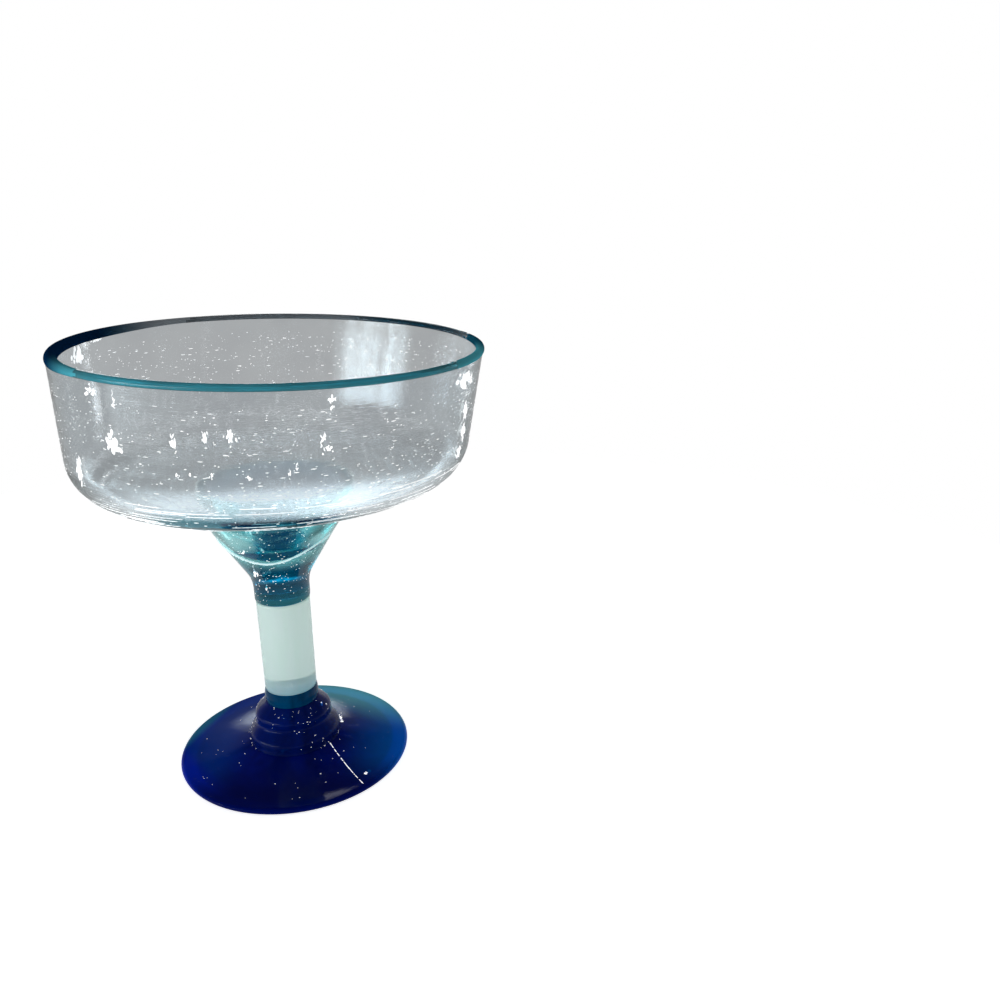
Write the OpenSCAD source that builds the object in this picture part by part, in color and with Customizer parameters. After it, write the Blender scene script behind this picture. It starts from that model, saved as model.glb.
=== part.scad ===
// Hand-blown margarita glass: a wide clear bowl with a turquoise lip, a thick teal neck,
// a short clear stem, a thin blue band, a rippled cobalt knop and a cobalt foot.
// Every piece is a gather of glass worked hot and fused to the next one, so all of them
// are turned about the same upright axis. Millimetres, standing on the plane z = 0.

/* [Bowl] */
// Outer radius of the rim, over its coloured thread
rim_r = 70; // [60:0.5:84]
// Depth of the bowl, from the rim down to the middle of its floor
bowl_depth = 48.9; // [40:0.1:62]
// Thickness of the blown wall
wall_t = 2.2; // [1.6:0.1:3]
// How far the wall leans in towards the floor, in degrees
wall_taper = 5.25; // [0:0.25:12]
// Outer radius of the rounded corner between wall and floor
corner_r = 14.8; // [8:0.2:20]
// How far the floor dips from the corner to its middle
floor_dip = 4.1; // [2:0.1:8]

/* [Lip thread] */
// How far the coloured thread stands proud of the wall, inside and outside
thread_over = 0.2; // [0.1:0.05:1]

/* [Neck] */
// Height of the neck, from the stem to the underside of the bowl
neck_h = 41.8; // [38:0.2:50]
// Radius of the neck where it meets the stem
neck_r = 10; // [8:0.1:12]
// Height of the neck's bottom above the stem where it starts to flare
neck_bend_h = 4.5; // [3:0.5:8]
// Radius of the bend where the neck starts to flare
neck_bend_r = 14; // [8:0.5:16]
// Radius of the neck at its top, under the bowl
neck_top_r = 27.2; // [25:0.2:34]
// Height of the upright edge at the neck's top
neck_collar_h = 3; // [1:0.5:5]
// Radius of the shoulder where the flare turns up into that edge
neck_shoulder_r = 12; // [6:0.5:14]
// Radius of the rounded edge at the bottom of the neck
neck_foot_round = 0.8; // [0.4:0.1:1.5]
// Height of solid glass between the stem and the hollow
neck_solid_h = 20.5; // [17:0.1:24]
// Radius of the round bottom of the hollow
cup_r = 14; // [10:0.2:15]
// Thickness of the neck's ring where the bowl is stuck on it
neck_top_t = 3; // [2:0.1:6]

/* [Stem] */
// Length of the clear stem
stem_h = 36; // [20:0.5:60]
// Radius of the stem at its foot
stem_r = 9.5; // [7:0.1:11]
// Radius of the stem at its top
stem_top_r = 9.7; // [7:0.1:11]

/* [Band] */
// Height of the thin blue band under the stem
band_h = 5.5; // [3:0.1:9]
// Radius of the band at its edges
band_r = 9.5; // [8:0.1:12]
// How far the side of the band swells out
band_swell = 0.4; // [0.1:0.05:1]

/* [Knop] */
// Height of the knop
knop_h = 15.5; // [10:0.1:24]
// Radius of the knop where it sits on the foot
knop_base_r = 17; // [14:0.1:24]
// Number of ripples round the knop
knop_ripples = 2; // [2:1:5]
// How far each ripple swells out
knop_swell = 1.8; // [0.5:0.1:2.5]

/* [Foot] */
// Radius of the foot
foot_r = 42.6; // [34:0.2:52]
// Height of the foot under the knop
foot_h = 6.5; // [5.5:0.1:10]
// Thickness of the foot at its edge
foot_edge_t = 2.4; // [1.8:0.1:4]
// Width of the flat ring that the glass stands on
rest_w = 4.5; // [2:0.1:8]
// How far the hollow under the foot rises above the table
hollow_h = 2.2; // [1:0.1:2.6]
// Radius of the scar left by the iron rod that held the glass while its lip was finished
pontil_r = 7; // [4:0.1:9]
// How far the scar hangs down into the hollow
pontil_h = 0.9; // [0.3:0.1:0.95]

/* [Hidden] */
$fn = 96;

// Steps in the arc of a corner, in a longer curve, and in each ripple
arc_steps = 10;
curve_steps = 16;
ripple_steps = 12;

// Heights of the joints, from the table up
knop_z = foot_h;
band_z = knop_z + knop_h;
stem_z = band_z + band_h;
neck_z = stem_z + stem_h;
floor_z = neck_z + neck_h + wall_t;
rim_z = floor_z + bowl_depth;

// Direction of the outer side of the wall, as an angle in the section
wall_dir = -wall_taper;

// Centre of the lip, which the thread is laid round
thread_r = wall_t / 2 + thread_over;
lip = [rim_r - thread_r, rim_z - thread_r];

// Centre of the rounded corner: it touches the wall's line
corner_in_r = corner_r - wall_t;
corner_z = floor_z + floor_dip + corner_in_r;
corner_x = lip[0] - (lip[1] - corner_z) * tan(wall_taper)
    - (corner_r - wall_t / 2) / cos(wall_taper);
corner = [corner_x, corner_z];

// Centre of the floor's shallow dish, which runs smoothly into the corner
dish_r = (pow(corner_x, 2) + pow(corner_in_r + floor_dip, 2) - pow(corner_in_r, 2)) / (2 * floor_dip);
dish = [0, floor_z + dish_r];
edge_dir = atan2(corner[1] - dish[1], corner[0]);

// A step of length d in the direction a
function step(d, a) = d * [cos(a), sin(a)];

// Points of an arc about c, from the direction a to the direction b
function arc(c, r, a, b, n = arc_steps) =
    [for (i = [0:n]) c + step(r, a + (b - a) * i / n)];

// Section of the blown wall at the depth t in the glass, from the floor's middle to the lip
function floor_line(t) = arc(dish, dish_r + t, -90, edge_dir);
function wall_line(t) = concat(
    floor_line(t),
    arc(corner, corner_in_r + t, edge_dir, wall_dir)
);

// Point on the underside of the bowl at the distance out from the axis
function under_bowl(out) = [out, lookup(out, floor_line(wall_t))];

// Outer edge of the ring that carries the bowl, and the mouth of the hollow inside it
neck_top = under_bowl(neck_top_r);
mouth = under_bowl(neck_top_r - neck_top_t);

// Centres of the neck's rounds, and the direction that the flare between them faces
neck_foot = [neck_r - neck_foot_round, neck_z + neck_foot_round];
neck_bend = [neck_r + neck_bend_r, neck_z + neck_bend_h];
neck_shoulder = [neck_top_r - neck_shoulder_r, neck_top[1] - neck_collar_h];
to_bend = neck_bend - neck_shoulder;
flare_dir = atan2(to_bend[1], to_bend[0]) + acos((neck_bend_r + neck_shoulder_r) / norm(to_bend));

// Centre of the hollow's round bottom, and the direction in which its straight side leaves it
cup = [0, neck_z + neck_solid_h + cup_r];
to_mouth = mouth - cup;
cup_dir = atan2(to_mouth[1], to_mouth[0]) - acos(cup_r / norm(to_mouth));

// A list in the opposite order
function back(list) = [for (i = [len(list) - 1:-1:0]) list[i]];

// Radius of the knop between its ripples, as a share s of the way down
function knop_core(s) = band_r + (knop_base_r - band_r) * pow(s, 0.75);
// Point on the knop's side, as a share s of the way down
function knop_point(s) = [
    knop_core(s) + knop_swell * pow(sin(180 * knop_ripples * s), 2) * (1 - s / 2),
    band_z - knop_h * s
];

// Point on the top of the foot, as a share s of the way out from the knop to the edge
foot_round = foot_edge_t / 2;
foot_flat = foot_r - foot_round;
function foot_point(s) = [
    knop_base_r + (foot_flat - knop_base_r) * s,
    foot_edge_t + (foot_h - foot_edge_t) * pow(1 - s, 2)
];

// Point in the hollow under the foot, as a share s of the way out to the flat ring
hollow_r = foot_flat - rest_w;
function hollow_point(s) = [hollow_r * s, hollow_h * (1 - pow(s, 4))];

module turned(section) {
    rotate_extrude() polygon(section);
}

// Disc pressed out of one gather, with a round edge and a hollow underside
module foot() {
    color("midnightblue")
    union() {
        turned(concat(
            [for (i = [0:curve_steps]) hollow_point(i / curve_steps)],
            arc([foot_flat, foot_round], foot_round, -90, 90),
            [for (i = [curve_steps - 1:-1:0]) foot_point(i / curve_steps)],
            [[0, foot_h]]
        ));
        pontil();
    }
}

// Low dome left where the rod was knocked off, rooted in the foot
module pontil() {
    root_z = hollow_h + pontil_h;
    turned(concat(
        [for (i = [0:arc_steps])
            let (a = 90 * i / arc_steps)
            [pontil_r * sin(a), hollow_h - pontil_h * cos(a)]
        ],
        [[pontil_r, root_z], [0, root_z]]
    ));
}

// Solid lump between stem and foot, rippled like a beehive as it sank
module knop() {
    steps = ripple_steps * knop_ripples;
    color("navy")
    turned(concat(
        [[0, band_z]],
        [for (i = [0:steps]) knop_point(i / steps)],
        [[0, knop_z]]
    ));
}

// Thin wafer of lighter blue glass
module stem_band() {
    color("steelblue")
    turned(concat(
        [[0, band_z]],
        [for (i = [0:arc_steps])
            let (s = i / arc_steps)
            [band_r + band_swell * sin(180 * s), band_z + band_h * s]
        ],
        [[0, stem_z]]
    ));
}

// Solid clear rod, a little thicker at its top
module stem() {
    color("lightgray")
    translate([0, 0, stem_z]) cylinder(h = stem_h, r1 = stem_r, r2 = stem_top_r);
}

// Thick funnel whose hollow is closed by the bowl that is stuck on its top ring
module neck() {
    color("teal")
    turned(concat(
        [[0, neck_z]],
        arc(neck_foot, neck_foot_round, -90, 0),
        arc(neck_bend, -neck_bend_r, 0, flare_dir),
        arc(neck_shoulder, neck_shoulder_r, flare_dir, 0),
        [neck_top],
        [for (p = back(floor_line(wall_t))) if (mouth[0] < p[0] && p[0] < neck_top[0]) p],
        [mouth],
        arc(cup, cup_r, cup_dir, -90)
    ));
}

// Blown shell of even thickness, from the rounded lip down to its closed, dished floor
module bowl() {
    color("whitesmoke", 0.6)
    turned(concat(
        wall_line(wall_t),
        arc(lip, wall_t / 2, wall_dir, wall_dir + 180),
        back(wall_line(0))
    ));
}

// Round thread of coloured glass, trailed over the hot lip all the way round
module rim_wrap() {
    reach = acos(wall_t / 2 / thread_r);
    color("darkturquoise")
    turned(concat(
        arc(lip, thread_r, wall_dir - reach, wall_dir + 180 + reach, curve_steps),
        arc(lip, wall_t / 2, wall_dir + 180, wall_dir)
    ));
}

foot();
knop();
stem_band();
stem();
neck();
bowl();
rim_wrap();
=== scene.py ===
import math
import random

import bmesh
import bpy
from mathutils import Matrix, Vector, noise


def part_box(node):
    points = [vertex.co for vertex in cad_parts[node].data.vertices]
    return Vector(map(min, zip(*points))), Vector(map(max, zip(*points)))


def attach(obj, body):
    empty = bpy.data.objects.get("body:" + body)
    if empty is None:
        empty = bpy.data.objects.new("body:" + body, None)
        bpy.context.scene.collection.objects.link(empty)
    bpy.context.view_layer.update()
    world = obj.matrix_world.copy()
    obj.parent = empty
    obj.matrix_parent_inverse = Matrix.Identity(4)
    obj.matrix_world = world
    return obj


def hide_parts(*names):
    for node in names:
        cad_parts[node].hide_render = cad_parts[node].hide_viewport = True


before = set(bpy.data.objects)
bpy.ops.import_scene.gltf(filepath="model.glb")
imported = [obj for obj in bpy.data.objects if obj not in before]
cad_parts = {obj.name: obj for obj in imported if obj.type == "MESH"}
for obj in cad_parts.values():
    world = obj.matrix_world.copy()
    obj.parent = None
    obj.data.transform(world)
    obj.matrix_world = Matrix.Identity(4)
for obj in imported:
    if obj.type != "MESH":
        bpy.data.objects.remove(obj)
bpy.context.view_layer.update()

# The foot. A gather of cobalt glass, dropped on the end of the stem and pressed out with
# wooden paddles into a thin disc. Its rounded edge stands on a flat ring, and the hollow
# underneath keeps the rough scar of the iron rod off the table.
MM = 0.001
foot_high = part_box("foot")[1]
foot_r = foot_high[0]
foot_h = foot_high[2]
foot_edge_round = 1.2 * MM
rest_w = 4.5 * MM
hollow_h = 2.2 * MM
pontil_r = 7 * MM
pontil_h = 0.9 * MM
pontil_rough = 0.3 * MM
paddle_wave = 0.16 * MM
top_from_z = 2.3 * MM
knop_base_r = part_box("knop")[1][0]
rim_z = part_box("rim_wrap")[1][2]
bond = 0.01 * MM
weld = 0.002 * MM
seat_low, seat_high = 88 * MM, 110 * MM
tilt_z, tilt_h = 109.4 * MM, 45.7 * MM
seat_shift, rim_shift, whole_shift = 1.53 * MM, 3.63 * MM, -1.6 * MM
seat_tilt, rim_tilt = 0.0146, 0.0171


def smooth_step(x, start, stop):
    """0 before start, 1 after stop, and a soft rise between."""
    s = min(max((x - start) / (stop - start), 0.0), 1.0)
    return s * s * (3 - 2 * s)


def lean(co):
    """The bowl sits a little to the right of its stem and tips up at the left, as the hand left it.

    The whole glass is moved a little to the left, so that the rim stays within its size.
    """
    seat = smooth_step(co.z, seat_low, seat_high)
    rise = max(0.0, (co.z - tilt_z) / tilt_h)
    x = co.x
    co.x += seat_shift * seat + rim_shift * rise + whole_shift
    co.z -= x * (seat_tilt * seat + rim_tilt * rise)


def step_to(length, angle):
    """A step of this length in the plane of a section, in the direction angle in degrees."""
    return Vector((math.cos(math.radians(angle)), math.sin(math.radians(angle)))) * length


def arc(centre, radius, start, stop, steps):
    """Points of an arc in the plane of a section, angles in degrees."""
    return [centre + step_to(radius, start + (stop - start) * i / steps) for i in range(steps + 1)]


def around(co, turns, up, salt):
    """Smooth noise from -1 to 1 that runs round the glass without a seam."""
    out = math.hypot(co.x, co.y) or 1e-9
    return noise.noise(Vector((co.x / out * turns + salt, co.y / out * turns, (co.z + out) * up)))


def turned(name, section, turns=160, move=None):
    """A closed solid of revolution: the section's points (radius, height) spun about the upright axis."""
    bm = bmesh.new()
    line = [bm.verts.new((p.x, 0.0, p.y)) for p in section]
    edges = [bm.edges.new(pair) for pair in zip(line, line[1:])]
    if section[0].x > 0 or section[-1].x > 0:
        edges.append(bm.edges.new((line[-1], line[0])))
    bmesh.ops.spin(
        bm, geom=line + edges, cent=(0, 0, 0), axis=(0, 0, 1),
        angle=math.tau, steps=turns, use_merge=True,
    )
    bmesh.ops.remove_doubles(bm, verts=bm.verts, dist=weld)
    bmesh.ops.recalc_face_normals(bm, faces=bm.faces)
    for vert in bm.verts:
        if move:
            move(vert.co)
        lean(vert.co)
    for face in bm.faces:
        face.smooth = True
    mesh = bpy.data.meshes.new(name)
    bm.to_mesh(mesh)
    bm.free()
    piece = bpy.data.objects.new(name, mesh)
    bpy.context.scene.collection.objects.link(piece)
    return piece


def add(tree, kind, links=(), **settings):
    """A new node, with its settings, and with links given as (socket to fill, what fills it)."""
    made = tree.nodes.new("ShaderNode" + kind)
    for key, value in settings.items():
        setattr(made, key, value)
    for socket, value in links:
        if isinstance(value, bpy.types.NodeSocket):
            tree.links.new(value, made.inputs[socket])
        else:
            made.inputs[socket].default_value = value
    return made


def hand_made():
    """Node group: soft waves, fine streaks and small seeds that all run round a piece of blown glass."""
    group = bpy.data.node_groups.new("hand made glass", "ShaderNodeTree")
    for name in ("Up", "Seed Size"):
        group.interface.new_socket(name, in_out="INPUT", socket_type="NodeSocketFloat")
    for name in ("Waves", "Streaks", "Seeds"):
        group.interface.new_socket(name, in_out="OUTPUT", socket_type="NodeSocketFloat")
    given = group.nodes.new("NodeGroupInput").outputs
    place = add(group, "TexCoord").outputs["Object"]
    parts = add(group, "SeparateXYZ", [(0, place)]).outputs
    flat = add(group, "CombineXYZ", [(0, parts[0]), (1, parts[1])]).outputs[0]
    out = add(group, "VectorMath", [(0, flat)], operation="LENGTH").outputs["Value"]
    ring = add(group, "VectorMath", [(0, flat)], operation="NORMALIZE").outputs[0]
    height = add(group, "Math", [(0, parts[2]), (1, out)], operation="ADD").outputs[0]

    def wrapped(turns, up):
        level = add(group, "Math", [(0, height), (1, up)], operation="MULTIPLY").outputs[0]
        lift = add(group, "CombineXYZ", [(2, level)]).outputs[0]
        wide = add(group, "VectorMath", [(0, ring), ("Scale", turns)], operation="SCALE").outputs[0]
        return add(group, "VectorMath", [(0, wide), (1, lift)], operation="ADD").outputs[0]

    waves = add(group, "TexNoise", [
        ("Vector", wrapped(3.0, given["Up"])), ("Scale", 1.0), ("Detail", 2.0),
    ])
    streaks = add(group, "TexNoise", [
        ("Vector", wrapped(4.0, 1400.0)), ("Scale", 1.0), ("Detail", 3.0), ("Roughness", 0.6),
    ])
    cells = add(group, "TexVoronoi", [
        ("Vector", wrapped(26.0, given["Seed Size"])), ("Scale", 1.0), ("Randomness", 1.0),
    ])
    chosen = add(group, "SeparateColor", [(0, cells.outputs["Color"])])
    size = add(group, "MapRange", [
        ("Value", chosen.outputs[0]), ("From Min", 0.6), ("From Max", 1.0), ("To Min", 0.0), ("To Max", 0.3),
    ]).outputs[0]
    spot = add(group, "Math", [(0, cells.outputs["Distance"]), (1, size)], operation="LESS_THAN").outputs[0]
    result = group.nodes.new("NodeGroupOutput").inputs
    group.links.new(waves.outputs["Fac"], result["Waves"])
    group.links.new(streaks.outputs["Fac"], result["Streaks"])
    group.links.new(spot, result["Seeds"])
    return group


blown = hand_made()


def glass(
    name, tint, depth_colour, density,
    pale=1.25, roughness=0.0, wave=0.35, up=120.0, seeds=900.0, lines=0.22, clear=1.0, gloss=0.5,
    sides=(),
):
    """Blown glass: tint at its surface with paler drifts, and depth_colour taken up on the way through.

    pale is how much paler the drifts are, wave the depth of the uneven skin, and lines the share of fine
    streaks in it. clear is how much of the light goes through, and gloss how strongly the skin mirrors.
    Each of sides is another tint, the direction in which it comes in, and how far out it starts and is
    full, in millimetres.
    """
    material = bpy.data.materials.new(name)
    material.use_nodes = True
    tree = material.node_tree
    shader = tree.nodes["Principled BSDF"]
    marks = add(tree, "Group", [], node_tree=blown)
    marks.inputs["Up"].default_value = up
    marks.inputs["Seed Size"].default_value = seeds
    light = tuple(min(c * pale, 1.0) for c in tint)
    drift = add(tree, "MapRange", [
        ("Value", marks.outputs["Waves"]), ("From Min", 0.35), ("From Max", 0.65),
    ])
    colour = add(tree, "Mix", [
        ("Factor", drift.outputs[0]), ("A", (*tint, 1)), ("B", (*light, 1)),
    ], data_type="RGBA")
    tinted = colour.outputs["Result"]
    place = add(tree, "TexCoord").outputs["Object"]
    for side_tint, side, start, stop in sides:
        far = add(tree, "VectorMath", [(0, place), (1, side)], operation="DOT_PRODUCT").outputs["Value"]
        share = add(tree, "MapRange", [
            ("Value", far), ("From Min", start * MM), ("From Max", stop * MM),
        ], interpolation_type="SMOOTHSTEP").outputs[0]
        mixed = add(tree, "Mix", [
            ("Factor", share), ("A", tinted), ("B", (*side_tint, 1)),
        ], data_type="RGBA")
        tinted = mixed.outputs["Result"]
    tree.links.new(tinted, shader.inputs["Base Color"])
    rough = add(tree, "MapRange", [
        ("Value", marks.outputs["Streaks"]), ("From Min", 0.55), ("From Max", 0.8),
        ("To Min", roughness), ("To Max", roughness + 0.06),
    ])
    tree.links.new(rough.outputs[0], shader.inputs["Roughness"])
    fine = add(tree, "Math", [
        (0, marks.outputs["Streaks"]), (1, lines), (2, marks.outputs["Waves"]),
    ], operation="MULTIPLY_ADD")
    relief = add(tree, "Math", [
        (0, marks.outputs["Seeds"]), (1, 0.25), (2, fine.outputs[0]),
    ], operation="MULTIPLY_ADD")
    bump = add(tree, "Bump", [
        ("Height", relief.outputs[0]), ("Strength", wave), ("Distance", 0.3 * MM),
    ])
    tree.links.new(bump.outputs[0], shader.inputs["Normal"])
    shader.inputs["IOR"].default_value = 1.5
    shader.inputs["Transmission Weight"].default_value = clear
    shader.inputs["Specular IOR Level"].default_value = gloss
    shader.inputs["Specular Tint"].default_value = (*[min(2 * gloss, 1.0)] * 3, 1)
    inside = add(tree, "VolumeAbsorption", [("Color", (*depth_colour, 1)), ("Density", density)])
    tree.links.new(inside.outputs[0], tree.nodes["Material Output"].inputs["Volume"])
    return material


def foot_top(s):
    """Point on the top of the foot, as a share s of the way out from the knop to the edge."""
    edge_t = 2 * foot_edge_round
    flat = foot_r - foot_edge_round
    return Vector((
        knop_base_r + (flat - knop_base_r) * s,
        edge_t + (foot_h + bond - edge_t) * (1 - s) ** 2,
    ))


def foot_under(s):
    """Point in the hollow under the foot, as a share s of the way out to the flat ring."""
    out = foot_r - foot_edge_round - rest_w
    scar = pontil_h * (1 - smooth_step(out * s, 0.6 * pontil_r, pontil_r))
    return Vector((out * s, hollow_h * (1 - s ** 4) - scar))


def foot_waves(co):
    """Paddle marks on the foot: its top is uneven, and the scar underneath is rough."""
    out = math.hypot(co.x, co.y)
    if co.z > top_from_z:
        co.z += paddle_wave * around(co, 2.2, 60, 3.1) * smooth_step(out, 12 * MM, 24 * MM)
    elif out < pontil_r:
        co.z += pontil_rough * noise.noise(co * 900) * (1 - out / pontil_r)


foot_section = [foot_under(i / 40) for i in range(41)]
foot_section += arc(Vector((foot_r - foot_edge_round, foot_edge_round)), foot_edge_round, -90, 90, 12)
foot_section += [foot_top(i / 40) for i in range(39, -1, -1)]
foot_section += [Vector((knop_base_r * i / 6, foot_h + bond)) for i in range(5, -1, -1)]
foot = turned("foot_glass", foot_section, 192, foot_waves)
foot.data.materials.append(glass(
    "foot glass", (0.0, 0.008, 0.2), (0.0, 0.4, 0.75), 900,
    pale=1.8, wave=0.25, seeds=420.0, clear=0.25, gloss=0.03,
    # Painted light in the foot's colour: it turns brighter blue towards the right and pale teal towards the
    # back, where light comes through it, and a painted blue glow lies at its front left edge.
    sides=[
        ((0.0, 0.2, 0.8), (0.9, 0.1, 0), 12, 38),
        ((0.25, 0.9, 1.0), (0.35, 1, 0), 18, 42),
        ((0.0, 0.055, 0.45), (-1, 0.1, 0), 12, 30),
        ((0.02, 0.3, 0.5), (-0.95, 0.3, 0), 38, 42.5),
        ((0.0, 0.03, 0.6), (-0.75, -0.66, 0), 33, 39),
        ((0.0, 0.006, 0.16), (0.15, -1, 0), 14, 34),
    ],
))
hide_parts("foot")
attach(foot, "root")

# The knop. A solid lump of the same cobalt glass between stem and foot, which sank into
# soft ripples like a beehive as it cooled.
knop_low, knop_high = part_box("knop")
knop_h = knop_high[2] - knop_low[2]
ripples, ripple_swell = 2, 1.8 * MM
band_r = 9.5 * MM


def knop_side(s):
    """Point on the knop's side, as a share s of the way down."""
    core = band_r + (knop_base_r - band_r) * s ** 0.75
    return Vector((
        core + ripple_swell * math.sin(math.pi * ripples * s) ** 2 * (1 - s / 2),
        knop_high[2] + bond - (knop_h + 2 * bond) * s,
    ))


def sagged(co):
    """Uneven sag round the knop."""
    out = math.hypot(co.x, co.y)
    if out > 5 * MM:
        grow = 1 + 0.035 * around(co, 1.3, 90, 7.7)
        co.x *= grow
        co.y *= grow


knop_section = [Vector((0, knop_high[2] + bond))] + [knop_side(i / 60) for i in range(61)]
knop_section += [Vector((0, knop_low[2] - bond))]
knop = turned("knop_glass", knop_section, 160, sagged)
knop.data.materials.append(glass(
    "knop glass", (0.0, 0.012, 0.18), (0.0, 0.45, 0.85), 500,
    pale=1.6, roughness=0.15, wave=0.25, seeds=700.0, clear=0.38, gloss=0.12,
))
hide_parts("knop")
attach(knop, "root")

# The band. A thin wafer of lighter blue glass between the knop and the stem.
band_low, band_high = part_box("stem_band")
band_swell = 0.4 * MM
band_section = [Vector((0, band_low[2] - bond))]
band_section += [
    Vector((
        band_r + band_swell * math.sin(math.pi * i / 16),
        band_low[2] - bond + (band_high[2] - band_low[2] + 2 * bond) * i / 16,
    ))
    for i in range(17)
]
band_section += [Vector((0, band_high[2] + bond))]
band = turned("stem_band_glass", band_section)
band.data.materials.append(glass(
    "blue glass", (0.0, 0.08, 0.2), (0.03, 0.6, 0.74), 200,
    pale=1.5, wave=0.15, clear=0.4, gloss=0.05,
))
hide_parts("stem_band")
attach(band, "root")

# The stem. A short solid rod of clear glass with a faint green cast, cut off hot and a
# little thicker at its top. It is slightly milky and has a faint painted glow, and where it
# is fused to the band its underside is a painted highlight, pale and glowing.
stem_low, stem_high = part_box("stem")
stem_r = 9.5 * MM
stem_top_r = stem_high[0]
stem_section = [Vector((0, stem_low[2] - bond))]
stem_section += [
    Vector((
        stem_r + (stem_top_r - stem_r) * i / 36,
        stem_low[2] - bond + (stem_high[2] - stem_low[2] + 2 * bond) * i / 36,
    ))
    for i in range(37)
]
stem_section += [Vector((0, stem_high[2] + bond))]


def painted_glow(material, colour, strength):
    """The same material with a painted glow: light of its own, in this colour and strength."""
    shader = material.node_tree.nodes["Principled BSDF"]
    shader.inputs["Emission Color"].default_value = (*colour, 1)
    shader.inputs["Emission Strength"].default_value = strength
    return material


stem = turned("stem_glass", stem_section)
stem_depth_colour, stem_density = (0.45, 0.86, 0.8), 11
facing_down = -0.9
# Both materials glow: the stem faintly all over, and its underside brightly, as a painted highlight where it
# meets the band.
stem.data.materials.append(painted_glow(glass(
    "stem glass", (0.9, 1.0, 0.96), stem_depth_colour, stem_density,
    pale=1.05, roughness=0.12, wave=0.3, up=60.0, clear=0.62,
), (0.7, 1.0, 0.9), 0.09))
stem.data.materials.append(painted_glow(glass(
    "stem seal painted highlight", (0.62, 0.76, 0.7), stem_depth_colour, stem_density, pale=1.05, clear=0.1, gloss=0.05,
), (0.92, 1.0, 0.92), 0.8))
for face in stem.data.polygons:
    if face.normal.z < facing_down:
        face.material_index = 1
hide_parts("stem")
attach(stem, "root")

# The bowl. Blown clear glass of one even thickness, from the rounded lip down the wall and
# round the corner to a closed floor, which sinks in a shallow dish towards its middle. Where
# the neck is stuck under the floor the glass is hazy with a faint painted glow, and a painted
# highlight runs round the seal as a bright glowing line.
rim_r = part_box("rim_wrap")[1][0]
wall_t = 2.2 * MM
thread_over = 0.2 * MM
wall_taper = 5.25
corner_r = 14.8 * MM
floor_dip = 4.1 * MM
bowl_depth = 48.9 * MM
seal_r = 27.2 * MM
seal_highlight_w = 0.7 * MM
seal_x = seat_shift + whole_shift
thread_r = wall_t / 2 + thread_over
lip = Vector((rim_r - thread_r, rim_z - thread_r))
wall_dir = -wall_taper
floor_z = rim_z - bowl_depth
corner_in_r = corner_r - wall_t
corner_z = floor_z + floor_dip + corner_in_r
corner = Vector((
    lip.x - (lip.y - corner_z) * math.tan(math.radians(wall_taper))
    - (corner_r - wall_t / 2) / math.cos(math.radians(wall_taper)),
    corner_z,
))
dish_r = (corner.x ** 2 + (corner_in_r + floor_dip) ** 2 - corner_in_r ** 2) / (2 * floor_dip)
dish = Vector((0, floor_z + dish_r))
edge_dir = math.degrees(math.atan2(corner.y - dish.y, corner.x))


def straight(a, b, steps):
    """Points on the way from a to b, without either end."""
    return [a.lerp(b, i / steps) for i in range(1, steps)]


def wall_line(t):
    """Section of the blown wall at the depth t in the glass, from the floor's middle to the lip."""
    floor = arc(dish, dish_r + t, -90, edge_dir, 80)
    bend = arc(corner, corner_in_r + t, edge_dir, wall_dir, 30)
    end = lip + step_to(t - wall_t / 2, wall_dir)
    return floor + bend[1:] + straight(bend[-1], end, 40)


def blown_waves(co):
    """Unevenness that blowing and turning left: rings on floor and wall, and a wall not quite round."""
    out = math.hypot(co.x, co.y)
    if out < 1 * MM:
        return
    floor = (1 - smooth_step(co.z, 112 * MM, 120 * MM)) * smooth_step(out, 12 * MM, 30 * MM)
    co.z += floor * 0.05 * MM * around(co, 1.2, 520, 1.3)
    wall = smooth_step(co.z, 108 * MM, 122 * MM) * (1 - smooth_step(co.z, 150 * MM, 155 * MM))
    grow = 1 + (0.25 * MM * around(co, 1.6, 26, 4.2) + 0.02 * MM * around(co, 1.2, 420, 9.1)) * wall / out
    co.x *= grow
    co.y *= grow


bowl_section = wall_line(wall_t)
bowl_section += arc(lip, wall_t / 2, wall_dir, wall_dir + 180, 10)
bowl_section += reversed(wall_line(0))
bowl = turned("bowl_glass", bowl_section, 216, blown_waves)
bowl_depth_colour, bowl_density = (0.62, 0.88, 0.92), 50
bowl.data.materials.append(glass(
    "bowl glass", (0.93, 0.93, 0.95), bowl_depth_colour, bowl_density,
    pale=1.06, wave=0.2, up=90.0, seeds=1100.0, lines=0.35,
    sides=[((0.015, 0.22, 0.3), (0, -0.35, -1), -95.2, -92)],
))
# Under the floor round the neck: a hazy finish with a faint painted glow, and a ring of painted highlight at
# the seal's edge.
for finish, tint, light, strength in (
    ("seal haze painted glow", (0.9, 0.88, 0.95), (1.0, 0.96, 0.95), 0.16),
    ("seal edge painted highlight", (0.95, 0.97, 1.0), (1.0, 0.98, 0.95), 0.45),
):
    bowl.data.materials.append(painted_glow(
        glass(finish, tint, bowl_depth_colour, bowl_density, pale=1.05, clear=0.35), light, strength,
    ))
for face in bowl.data.polygons:
    out = math.hypot(face.center.x - seal_x, face.center.y)
    if face.normal.z < facing_down and out < seal_r:
        face.material_index = 2 if out > seal_r - seal_highlight_w else 1
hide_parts("bowl")
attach(bowl, "root")

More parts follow.
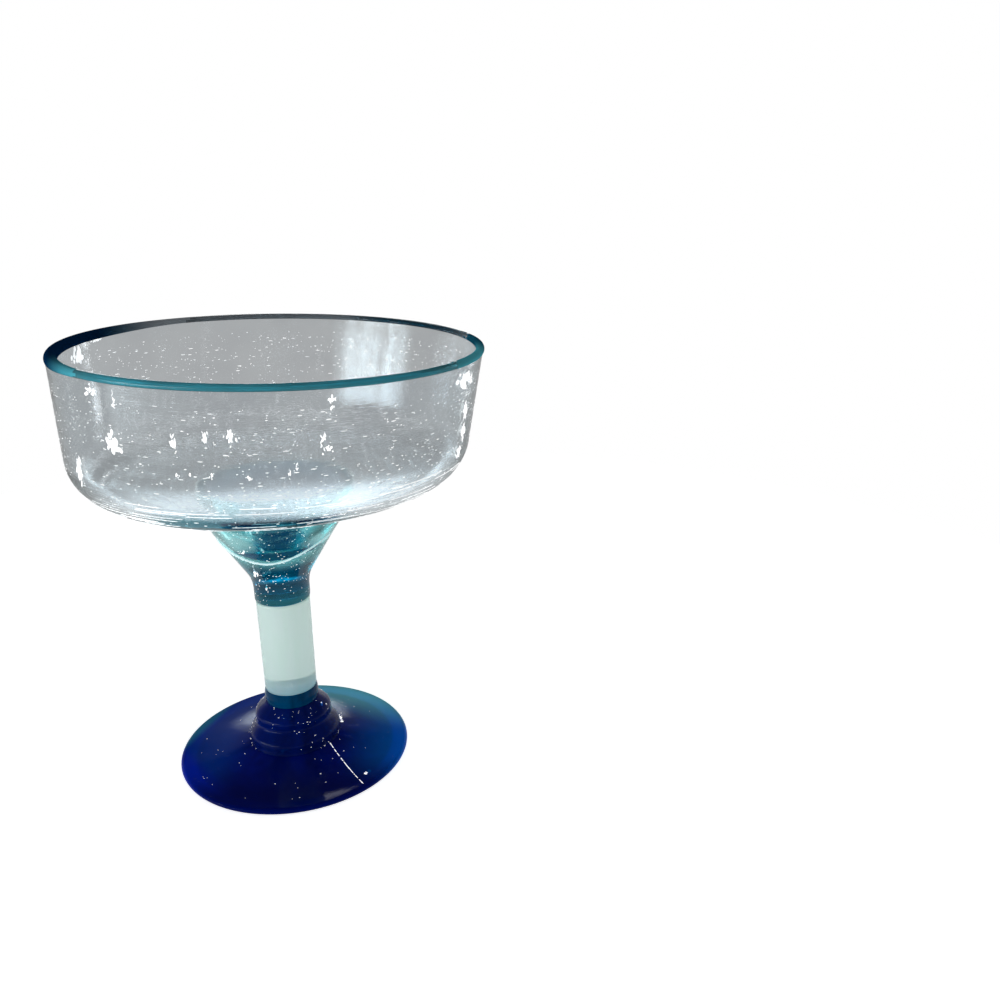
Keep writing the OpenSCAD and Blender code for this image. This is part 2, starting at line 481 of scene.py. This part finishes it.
# The neck. A thick cup of teal glass full of seeds, closed by the floor of the bowl that is
# stuck on it, so that its hollow holds sealed air. The hollow's bottom is nearly navy.
neck_low, neck_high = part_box("neck")
neck_r = 10 * MM
neck_bend_h = 4.5 * MM
neck_bend_r = 14 * MM
neck_top_r = neck_high[0]
neck_collar_h = 3 * MM
neck_shoulder_r = 12 * MM
neck_foot_round = 0.8 * MM
neck_solid_h = 20.5 * MM
cup_r = 14 * MM
neck_top_t = 3 * MM
cup = Vector((0, neck_low[2] + neck_solid_h + cup_r))
cup_bottom_z, cup_facing_up = 88 * MM, 0.6
under_r = dish_r + wall_t - bond


def under_bowl(out):
    """Point on the underside of the bowl, at the distance out from the axis."""
    return Vector((out, dish.y - math.sqrt(under_r ** 2 - out ** 2)))


def direction(step):
    """Direction of a step in the plane of a section, in degrees."""
    return math.degrees(math.atan2(step.y, step.x))


neck_top = under_bowl(neck_top_r)
mouth = under_bowl(neck_top_r - neck_top_t)
neck_bend = Vector((neck_r + neck_bend_r, neck_low[2] + neck_bend_h))
neck_shoulder = neck_top - Vector((neck_shoulder_r, neck_collar_h))
to_bend = neck_bend - neck_shoulder
flare_dir = direction(to_bend) + math.degrees(math.acos((neck_bend_r + neck_shoulder_r) / to_bend.length))
to_mouth = mouth - cup
cup_dir = direction(to_mouth) - math.degrees(math.acos(cup_r / to_mouth.length))
neck_section = [Vector((0, neck_low[2] - bond))]
neck_section += arc(
    Vector((neck_r - neck_foot_round, neck_low[2] - bond + neck_foot_round)), neck_foot_round, -90, 0, 6
)
neck_section += arc(neck_bend, -neck_bend_r, 0, flare_dir, 16)
neck_section += straight(neck_section[-1], neck_shoulder + step_to(neck_shoulder_r, flare_dir), 12)
neck_section += arc(neck_shoulder, neck_shoulder_r, flare_dir, 0, 12)
neck_section += straight(neck_section[-1], neck_top, 4)
neck_outside = neck_section[7:]
neck_section += arc(dish, under_r, direction(neck_top - dish), direction(mouth - dish), 8)
cup_side = arc(cup, cup_r, cup_dir, -90, 16)
neck_section += straight(mouth, cup_side[0], 12) + cup_side
neck = turned("neck_glass", neck_section, 160, blown_waves)
neck.data.materials.append(glass(
    "teal glass", (0.9, 1.0, 1.0), (0.08, 0.9, 0.92), 36, pale=1.02, wave=0.35, seeds=620.0, gloss=0.2,
    sides=[((0.004, 0.12, 0.22), (0, 0, -1), -86, -78)],
))
neck.data.materials.append(glass(
    "cup bottom", (0.0, 0.05, 0.2), (0.05, 0.84, 0.86), 62,
    wave=0.35, seeds=620.0, clear=0.3, gloss=0.05,
))
for face in neck.data.polygons:
    if face.normal.z > cup_facing_up and face.center.z < cup_bottom_z:
        face.material_index = 1
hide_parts("neck")
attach(neck, "root")

# The lip thread. Turquoise glass trailed over the hot lip and melted to a round bead. It
# was trailed by hand, so it is thick and nearly navy at the left, and thin at the back.
reach = math.degrees(math.acos(wall_t / 2 / thread_r))
dark_left, dark_right, dark_ragged = -40 * MM, 66 * MM, 5 * MM
thick_left, thick_right = 0.55, 0.12
sag_in, sag_down = 0.7 * MM, 0.5 * MM


def trailed(co):
    """The thread's own thickness, which changes round the lip."""
    out = math.hypot(co.x, co.y)
    away = Vector((out - lip.x, co.z - lip.y))
    angle = math.degrees(math.atan2(co.y, co.x))
    left = smooth_step(math.cos(math.radians(angle - 184)), 0.62, 1.0)
    right = smooth_step(math.cos(math.radians(angle + 8)), 0.8, 1.0)
    if away.length > wall_t / 2 + 0.05 * MM:
        away *= 1 + thick_left * left + thick_right * right
        away.x -= sag_in * left
        away.y -= sag_down * left
        grow = (lip.x + away.x) / out
        co.x *= grow
        co.y *= grow
        co.z = lip.y + away.y
    blown_waves(co)


thread_section = arc(lip, thread_r, wall_dir - reach, wall_dir + 180 + reach, 20)
thread_section += arc(lip, wall_t / 2 - bond, wall_dir + 180, wall_dir, 12)
thread = turned("rim_wrap_glass", thread_section, 240, trailed)
for finish, clear, gloss in (("turquoise glass", 0.6, 0.25), ("dark turquoise glass", 0.0, 0.0)):
    thread.data.materials.append(glass(
        finish, (0.1, 0.5, 0.6), (0.25, 0.8, 0.86), 120,
        roughness=0.1, wave=0.2, pale=1.3, clear=clear, gloss=gloss,
        sides=[
            ((0.42, 0.46, 0.5), (-0.2, 1, 0), 20, 50),
            ((0.01, 0.11, 0.18), (0.8, 0.6, 0), 50, 64),
            ((0.001, 0.022, 0.075), (-1, -0.1, 0), 42, 60),
        ],
    ))
for face in thread.data.polygons:
    ragged = dark_ragged * noise.noise(face.center * 400)
    if face.center.x < dark_left + ragged or face.center.x > dark_right + ragged:
        face.material_index = 1
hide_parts("rim_wrap")
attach(thread, "root")

# The seeds. Small air bubbles, drawn out round the glass as it was turned. They lie just
# under the surface and lift it a little, and each one glows white, a painted glint.
air = bpy.data.materials.new("seed skin painted glint")
air.use_nodes = True
shader = air.node_tree.nodes["Principled BSDF"]
mottle = add(air.node_tree, "TexNoise", [("Scale", 900.0)])
mottle_colour = add(air.node_tree, "MapRange", [
    ("Value", mottle.outputs["Fac"]), ("To Min", 0.8), ("To Max", 1.0),
])
air.node_tree.links.new(mottle_colour.outputs[0], shader.inputs["Base Color"])
shader.inputs["Roughness"].default_value = 0.2
# Painted glint: the skin glows white of itself. The glints, lines and trail below use it too, and the
# crescent a copy of it.
painted_glow(air, (1, 1, 1), 1.0)
blown_from_z = 60 * MM


def trapped(name, bm, skin):
    """The piece for these bubbles, bent with the glass that they lie in."""
    bmesh.ops.recalc_face_normals(bm, faces=bm.faces)
    for vert in bm.verts:
        if vert.co.z > blown_from_z:
            blown_waves(vert.co)
        lean(vert.co)
    for face in bm.faces:
        face.smooth = True
    mesh = bpy.data.meshes.new(name)
    bm.to_mesh(mesh)
    bm.free()
    mesh.materials.append(skin)
    piece = bpy.data.objects.new(name, mesh)
    bpy.context.scene.collection.objects.link(piece)
    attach(piece, "root")


def seeds(name, slot, places, count, small, large, seed):
    """Drawn-out bubbles at random along the section lines in places, each a list of points."""
    chance = random.Random(seed)
    bm = bmesh.new()
    steps = [pair for line in places for pair in zip(line, line[1:])]
    areas = [(b - a).length * (a.x + b.x) for a, b in steps]
    for a, b in chance.choices(steps, areas, k=count):
        at = a.lerp(b, chance.random())
        along = direction(b - a)
        size = small * (large / small) ** (chance.random() ** 2)
        width = small * (0.6 + 0.5 * chance.random())
        bmesh.ops.create_icosphere(bm, subdivisions=1, radius=0.5, matrix=(
            Matrix.Rotation(chance.uniform(0, math.tau), 4, "Z")
            @ Matrix.Translation((at.x, 0, at.y))
            @ Matrix.Rotation(-math.radians(along), 4, "Y")
            @ Matrix.Diagonal((width, size, 0.7 * width, 1))
        ))
    trapped(name, bm, air)


wall_out = wall_line(wall_t)[40:-6]
wall_in = wall_line(0)[8:-6]
seeds("bowl_seeds", "bowl_glass", [wall_out, wall_in], 3200, 0.3 * MM, 2.1 * MM, 5)
seeds("neck_seeds", "teal_glass", [neck_outside], 700, 0.26 * MM, 0.8 * MM, 6)
knop_points = [knop_side(i / 30) for i in range(31)]
seeds("knop_seeds", "cobalt_glass", [knop_points], 260, 0.22 * MM, 0.9 * MM, 8)
foot_points = [foot_top(i / 20) for i in range(19)]
seeds("foot_seeds", "cobalt_glass", [foot_points], 60, 0.22 * MM, 0.7 * MM, 9)

# The painted glints in the bowl. Reflections of bright lights, painted as ragged clusters
# of small glowing flat bubbles in the wall. Most are in the front half, a few at the left end of the lip.
painted_glints = bmesh.new()


def painted_glint(bm, angle, out, z, wide, tall, salt, thick=0.3 * MM, whole=False):
    """A painted glint, shaped as a flat bubble at this angle round the glass, in degrees: whole, or broken up
    into a cluster.
    """
    chance = random.Random(salt)
    spread = 0 if whole else 0.24
    for _ in range(1 if whole else 4 + int(1.1 * (wide / MM) * (tall / MM))):
        across, up = chance.gauss(0, spread), chance.gauss(0, spread)
        share = 1.0 if whole else 0.3 * chance.uniform(0.5, 1.3)
        bmesh.ops.create_icosphere(bm, subdivisions=1, radius=0.5, matrix=(
            Matrix.Rotation(math.radians(angle) + across * wide / out, 4, "Z")
            @ Matrix.Translation((out, 0, z + up * tall))
            @ Matrix.Rotation(chance.uniform(-0.6, 0.6), 4, "X")
            @ Matrix.Diagonal((thick, wide * share * 0.7, tall * share * 1.15, 1))
        ))


for salt, (angle, z, wide, tall) in enumerate((
    (-117.8, 137.5, 5.5, 5.0), (-100.5, 139.3, 2.2, 5.0), (-92.8, 141.7, 1.8, 4.4),
    (-87.0, 141.4, 3.0, 4.6), (-66.5, 139.7, 1.8, 5.0), (-65.2, 136.8, 3.4, 2.2),
    (-65.0, 150.8, 2.4, 3.6), (-115.5, 150.6, 0.8, 5.0), (-122.6, 151.6, 5.0, 2.6),
    (-20.5, 150.0, 10.0, 4.2), (-17.0, 139.0, 3.0, 7.0), (-16.2, 131.6, 4.0, 6.0),
    (-17.5, 124.9, 4.0, 4.0), (-134.5, 125.5, 3.5, 8.0), (-100.5, 130.1, 1.3, 2.2),
    (-97.2, 130.4, 1.2, 1.6), (-91.8, 130.4, 1.3, 2.6), (-83.0, 129.9, 1.4, 2.4),
    (-74.2, 130.0, 1.3, 2.8), (-72.2, 132.3, 1.2, 2.0), (176.0, 149.5, 7.0, 5.0),
    (166.0, 153.2, 7.0, 1.6),
)):
    out = lip.x + wall_t / 2 - (lip.y - z * MM) * math.tan(math.radians(wall_taper))
    painted_glint(painted_glints, angle, out, z * MM, wide * MM, tall * MM, 3.7 * salt)
trapped("bowl_painted_glints", painted_glints, air)

# The lines round the bottom of the bowl. Hair-thin glowing strings, laid level round the
# corner: painted reflections of the bright band that the corner mirrors.
lines = bmesh.new()
chance = random.Random(12)
line_count, line_step, line_l = 150, 2.4 * MM, 3.4 * MM
lines_low, lines_high = 109.6 * MM, 121.5 * MM
low_wall = [p for p in wall_out if lines_low < p.y < lines_high]
for _ in range(line_count):
    spot = chance.choice(low_wall)
    start = chance.uniform(0, 360)
    thin = chance.uniform(0.12, 0.26) * MM
    for i in range(chance.randint(2, 8)):
        bmesh.ops.create_icosphere(lines, subdivisions=1, radius=0.5, matrix=(
            Matrix.Rotation(math.radians(start) + i * line_step / spot.x, 4, "Z")
            @ Matrix.Translation((spot.x, 0, spot.y))
            @ Matrix.Diagonal((thin, line_l, thin, 1))
        ))
trapped("bowl_painted_streaks", lines, air)

# The trail across the foot. One string of bubbles that the paddle pulled out from the knop
# nearly to the edge, glowing as a painted glint, and three painted glints shaped as bubbles:
# one at its end and two on the right side of the knop.
trail = bmesh.new()
trail_start, trail_end = Vector((14.7, -8.5)) * MM, Vector((29.4, -27.9)) * MM
trail_dir = math.atan2(trail_end.y - trail_start.y, trail_end.x - trail_start.x)
trail_count, trail_gap = 44, -0.16
foot_span = foot_r - foot_edge_round - knop_base_r
for i in range(trail_count):
    if noise.noise(Vector((i * 0.47, 11, 0))) < trail_gap:
        continue
    at = trail_start.lerp(trail_end, i / (trail_count - 1))
    top_z = foot_top(max(0.0, (at.length - knop_base_r) / foot_span)).y
    width = (0.3 + 0.34 * noise.noise(Vector((i * 0.9, 3, 0)))) * MM
    bmesh.ops.create_icosphere(trail, subdivisions=2, radius=0.5, matrix=(
        Matrix.Translation((at.x, at.y, top_z))
        @ Matrix.Rotation(trail_dir, 4, "Z")
        @ Matrix.Diagonal((0.8 * MM, width, 0.26 * MM, 1))
    ))
for salt, (angle, out, z, wide, tall, thick) in enumerate((
    (-36, 37.2, 2.6, 2.6, 0.5, 1.6), (30, 18.0, 6.2, 4.0, 1.6, 1.6), (-12, 11.6, 19.6, 1.8, 2.6, 0.6),
)):
    painted_glint(trail, angle, out * MM, z * MM, wide * MM, tall * MM, 5.1 * salt, thick * MM)
trapped("foot_trail", trail, air)

# The crescent round the neck. A painted highlight where the edge of the hollow mirrors the
# light: a thin pale glowing film just under the skin, about level with the hollow's bottom.
# It hangs in an arc across the front, and is widest at the left.
crescent_glow = air.copy()
crescent_glow.name = "painted crescent glow"
painted_glow(crescent_glow, (0.4, 0.78, 0.82), 0.5)
painted_crescent = bmesh.new()
painted_crescent_count, painted_crescent_start, painted_crescent_reach = 72, -162, 144
painted_crescent_h, painted_crescent_rise = 19.6, 7.4
painted_crescent_w, painted_crescent_t, painted_crescent_sunk = 1.6 * MM, 0.2 * MM, 0.05 * MM


def neck_side(z):
    """Point on the outside of the neck at this height."""
    pairs = zip(neck_outside, neck_outside[1:])
    low, high = next((low, high) for low, high in pairs if low.y <= z <= high.y)
    return low.lerp(high, (z - low.y) / (high.y - low.y))


for i in range(painted_crescent_count):
    angle = painted_crescent_start + painted_crescent_reach * i / (painted_crescent_count - 1)
    z = neck_low[2] + (painted_crescent_h + painted_crescent_rise * math.cos(math.radians(angle)) ** 2) * MM
    tall = 1.1 + 1.1 * smooth_step(-angle, 95, 150) + 0.5 * noise.noise(Vector((i * 0.31, 7, 0)))
    painted_glint(painted_crescent, angle, neck_side(z).x - painted_crescent_sunk, z, painted_crescent_w, tall * MM, i, painted_crescent_t, whole=True)
trapped("neck_painted_crescent", painted_crescent, crescent_glow)

# Painted glints in the neck: a few glowing clusters of larger bubbles at its front and left.
neck_painted_glints = bmesh.new()
for salt, (angle, z, wide, tall) in enumerate((
    (-106, 70.6, 1.2, 3.6), (-112, 78.5, 2.4, 4.2), (-113, 88.0, 3.2, 1.8), (-160, 87.5, 3.0, 6.0),
)):
    painted_glint(neck_painted_glints, angle, neck_side(z * MM).x, z * MM, wide * MM, tall * MM, 60 + salt)
trapped("neck_painted_glints", neck_painted_glints, air)

# The set: a round pale table top, a plain studio round it, and the camera where the
# photograph was taken from.
table_r = 0.42
floor_mesh = bmesh.new()
bmesh.ops.create_circle(floor_mesh, cap_ends=True, segments=96, radius=table_r)
floor_data = bpy.data.meshes.new("floor")
floor_mesh.to_mesh(floor_data)
floor_mesh.free()
floor = bpy.data.objects.new("floor", floor_data)
bpy.context.scene.collection.objects.link(floor)
pale_top = bpy.data.materials.new("pale table top")
pale_top.use_nodes = True
tree = pale_top.node_tree
shader = tree.nodes["Principled BSDF"]
shader.inputs["Base Color"].default_value = (0.85, 0.85, 0.85, 1)
shader.inputs["Roughness"].default_value = 0.9
shader.inputs["Emission Color"].default_value = (1, 1, 1, 1)
# Seen by the camera the top is lifted to plain white. For all other rays it glows of itself, a painted patch
# of light that is brightest round the glass and faint out to its edge.
seen = add(tree, "LightPath").outputs["Is Camera Ray"]
lift = add(tree, "MapRange", [("Value", seen), ("To Min", 0.0), ("To Max", 0.85)]).outputs[0]
place = add(tree, "TexCoord").outputs["Object"]
far = add(tree, "VectorMath", [(0, place)], operation="LENGTH").outputs["Value"]
painted_light_pool = add(tree, "MapRange", [
    ("Value", far), ("From Min", 0.12), ("From Max", 0.32), ("To Min", 0.4), ("To Max", 0.1),
], interpolation_type="SMOOTHSTEP").outputs[0]
glow = add(tree, "Math", [(0, lift), (1, painted_light_pool)], operation="MAXIMUM").outputs[0]
tree.links.new(glow, shader.inputs["Emission Strength"])
floor_data.materials.append(pale_top)

# The studio: a pale wall behind the glass, a darker side in front and two soft windows,
# which the glass mirrors and bends. The camera itself sees plain white.
world = bpy.data.worlds.new("studio")
bpy.context.scene.world = world
world.use_nodes = True
tree = world.node_tree


def sky(levels):
    """Brightness by height in the studio: 0 is straight down, 0.5 the horizon and 1 straight up."""
    ramp = add(tree, "ValToRGB", [(0, height)])
    while len(ramp.color_ramp.elements) < len(levels):
        ramp.color_ramp.elements.new(1.0)
    for mark, (at, level) in zip(ramp.color_ramp.elements, levels):
        mark.position = at
        mark.color = (level * 0.985, level * 0.995, level, 1)
    return ramp.outputs[0]


direction_seen = add(tree, "TexCoord").outputs["Generated"]
look = add(tree, "SeparateXYZ", [(0, direction_seen)]).outputs
height = add(tree, "MapRange", [("Value", look[2]), ("From Min", -1.0)]).outputs[0]
behind = add(tree, "MapRange", [("Value", look[1]), ("From Min", 0.1), ("From Max", 0.7)]).outputs[0]
back_wall = sky([
    (0, 0.44), (0.465, 0.44), (0.485, 0.85), (0.54, 0.85), (0.6, 0.5), (0.73, 0.34), (0.77, 0.06), (1.0, 0.3),
])
front_wall = sky([(0, 0.3), (0.48, 0.3), (0.55, 0.15), (0.75, 0.15), (1.0, 0.3)])
room = add(tree, "Mix", [
    ("Factor", behind), ("A", front_wall), ("B", back_wall),
], data_type="RGBA").outputs["Result"]


def soft_window(azimuth, elevation, width, tall, level):
    """A soft-edged, mottled bright patch of the room at this azimuth and elevation, in degrees."""
    a = math.radians(azimuth)
    flat = add(tree, "VectorMath", [
        (0, add(tree, "CombineXYZ", [(0, look[0]), (1, look[1])]).outputs[0]),
    ], operation="NORMALIZE").outputs[0]
    near = add(tree, "VectorMath", [
        (0, flat), (1, (math.sin(a), math.cos(a), 0)),
    ], operation="DOT_PRODUCT")
    across = add(tree, "MapRange", [
        ("Value", near.outputs["Value"]),
        ("From Min", math.cos(math.radians(width))), ("From Max", math.cos(math.radians(width * 0.05))),
    ], interpolation_type="SMOOTHSTEP").outputs[0]
    off = add(tree, "Math", [
        (0, look[2]), (1, math.sin(math.radians(elevation))),
    ], operation="SUBTRACT").outputs[0]
    up = add(tree, "MapRange", [
        ("Value", add(tree, "Math", [(0, off)], operation="ABSOLUTE").outputs[0]),
        ("From Min", math.sin(math.radians(tall * 0.1))), ("From Max", math.sin(math.radians(tall))),
        ("To Min", level), ("To Max", 0.0),
    ], interpolation_type="SMOOTHSTEP").outputs[0]
    cloud = add(tree, "TexNoise", [
        ("Vector", direction_seen), ("Scale", 8.0), ("Detail", 2.0),
    ]).outputs["Fac"]
    veil = add(tree, "MapRange", [
        ("Value", cloud), ("From Min", 0.32), ("From Max", 0.62), ("To Min", 0.4), ("To Max", 1.15),
    ], interpolation_type="SMOOTHSTEP").outputs[0]
    shape = add(tree, "Math", [(0, across), (1, up)], operation="MULTIPLY").outputs[0]
    return add(tree, "Math", [(0, shape), (1, veil)], operation="MULTIPLY").outputs[0]


daylight = (0.86, 0.97, 1.0)
for azimuth, elevation, width, tall, level in (
    (-127, -3, 30, 18, 9.0),
    (-12, 9, 34, 9, 3.0),
):
    patch = soft_window(azimuth, elevation, width, tall, level)
    tinted = add(tree, "VectorMath", [(0, daylight), ("Scale", patch)], operation="SCALE").outputs[0]
    room = add(tree, "Mix", [
        ("Factor", 1.0), ("A", room), ("B", tinted),
    ], data_type="RGBA", blend_type="ADD").outputs["Result"]
seen = add(tree, "LightPath").outputs["Is Camera Ray"]
shown = add(tree, "Mix", [
    ("Factor", seen), ("A", room), ("B", (1, 1, 1, 1)),
], data_type="RGBA").outputs["Result"]
tree.links.new(shown, tree.nodes["Background"].inputs["Color"])
lamps_aim_z = 0.12


def window(name, azimuth, low, high, width, level, distance=1.3):
    """A soft rectangular light from low to high at this azimuth, in degrees.

    The azimuth is 0 behind the glass and 90 at its right.
    """
    a, mid = math.radians(azimuth), math.radians((low + high) / 2)
    toward = Vector((math.sin(a) * math.cos(mid), math.cos(a) * math.cos(mid), math.sin(mid)))
    place = toward * distance
    data = bpy.data.lights.new(name, "AREA")
    data.shape = "RECTANGLE"
    data.size = 2 * distance * math.tan(math.radians(width / 2))
    data.size_y = 2 * distance * math.tan(math.radians((high - low) / 2))
    data.energy = level * math.pi * data.size * data.size_y
    lamp = bpy.data.objects.new(name, data)
    lamp.location = place + Vector((0, 0, lamps_aim_z))
    lamp.rotation_euler = (-place).to_track_quat("-Z", "Y").to_euler()
    lamp.visible_camera = False
    bpy.context.scene.collection.objects.link(lamp)


# Two small lamps for the glints, and the camera as it was worked out from the photograph.
window("window low", 35, -14, -8, 7, 5)
window("lamp above", -13, 33, 38, 5, 6)

lens_px = 934.7
picture_px = 1000
sensor_w = 36
camera_place = (0.07826, -0.312511, 0.205959)
pitch = math.radians(18.819)
roll = math.radians(-0.724)
camera_data = bpy.data.cameras.new("camera")
camera_data.sensor_width = sensor_w
camera_data.lens = sensor_w * lens_px / picture_px
camera_data.clip_start = 0.01
camera = bpy.data.objects.new("camera", camera_data)
camera.matrix_world = (
    Matrix.Translation(camera_place)
    @ Matrix.Rotation(math.pi / 2 - pitch, 4, "X")
    @ Matrix.Rotation(roll, 4, "Z")
)
bpy.context.scene.collection.objects.link(camera)
bpy.context.scene.camera = camera
bpy.context.scene.view_settings.view_transform = "Standard"
